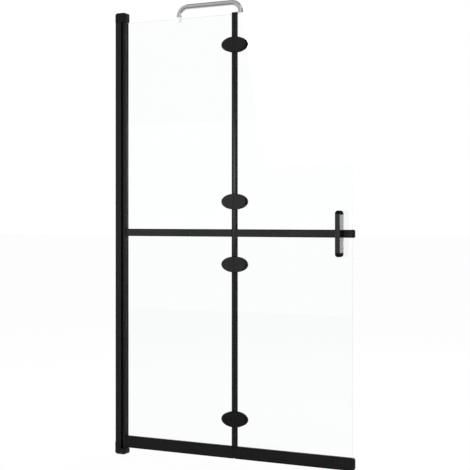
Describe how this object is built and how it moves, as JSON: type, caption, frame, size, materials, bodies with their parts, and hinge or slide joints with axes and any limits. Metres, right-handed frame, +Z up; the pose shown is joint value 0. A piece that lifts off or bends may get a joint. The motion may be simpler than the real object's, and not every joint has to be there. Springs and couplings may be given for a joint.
{
  "type": "folding shower screen",
  "caption": "Two-leaf folding bath screen: clear glass in slim black profiles, a pivoting wall profile, oval fold hinges, a middle rail with a square pull and a tube bow on top.",
  "frame": {"origin": "on the wall face, in the glass mid-plane, half-way up the wall profile", "axes": "+X from the wall along the screen, +Y towards the back, away from the viewer of the picture, +Z up"},
  "size_m": [0.803, 0.0537, 1.41],
  "materials": {
    "frame_black": "satin black powder coat on aluminium",
    "moulded_black": "fine satin moulded plastic, black",
    "bearing_plastic": "smooth acetal",
    "rubber_black": "matt soft rubber",
    "glass_clear": "clear toughened glass with a faint green edge",
    "bow_chrome": "bright plated tube with a grey tone",
    "clear_plastic": "clear moulded plastic",
    "screw_steel": "stainless steel"
  },
  "bodies": {
    "wall_fixing": {"wall_channel": "frame_black", "adjusting_profile": "frame_black", "channel_seal": "rubber_black", "clamp_screws": "screw_steel", "clamp_screw_covers": "moulded_black", "top_bearing_cap": "moulded_black", "bottom_bearing_cap": "moulded_black", "pivot_bushes": "bearing_plastic"},
    "wall_leaf": {"pivot_profile": "frame_black", "pivot_end_plugs": "moulded_black", "pivot_pins": "screw_steel", "pivot_lip_seal": "rubber_black", "wall_upper_glass": "glass_clear", "wall_lower_glass": "glass_clear", "wall_transom": "frame_black", "wall_bottom_rail": "frame_black", "wall_edge_profile": "frame_black", "wall_glazing_gaskets": "rubber_black", "wall_rail_seal": "rubber_black", "wall_rail_inner_cap": "moulded_black", "wall_frame_screws": "screw_steel", "wall_hinge_front_plates": "frame_black", "wall_hinge_back_plates": "frame_black", "wall_hinge_pads": "rubber_black", "wall_hinge_screws": "screw_steel", "hinge_pins": "screw_steel", "top_bow": "bow_chrome", "bow_foot_plate": "bow_chrome", "bow_glass_shoe": "clear_plastic", "bow_screws": "screw_steel"},
    "outer_leaf": {"outer_upper_glass": "glass_clear", "outer_lower_glass": "glass_clear", "outer_transom": "frame_black", "outer_bottom_rail": "frame_black", "outer_edge_profile": "frame_black", "outer_glazing_gaskets": "rubber_black", "outer_rail_seal": "rubber_black", "outer_rail_inner_cap": "moulded_black", "outer_frame_screws": "screw_steel", "outer_hinge_front_plates": "frame_black", "outer_hinge_back_plates": "frame_black", "outer_hinge_pads": "rubber_black", "outer_hinge_screws": "screw_steel", "outer_edge_cap": "moulded_black", "fold_seal": "rubber_black", "transom_end_cap": "moulded_black", "rail_end_cap": "moulded_black", "handle_bar": "frame_black", "handle_end_caps": "moulded_black", "handle_screws": "screw_steel"}
  },
  "joints": [
    {"name": "wall_pivot", "type": "hinge", "parent": "wall_fixing", "child": "wall_leaf", "pos_m": [0.03275, 0, 0], "axis": [0, 0, 1], "range_deg": [-88, 0]},
    {"name": "leaf_fold", "type": "hinge", "parent": "wall_leaf", "child": "outer_leaf", "pos_m": [0.4185, 0.0108, 0], "axis": [0, 0, 1], "range_deg": [0, 180]}
  ]
}
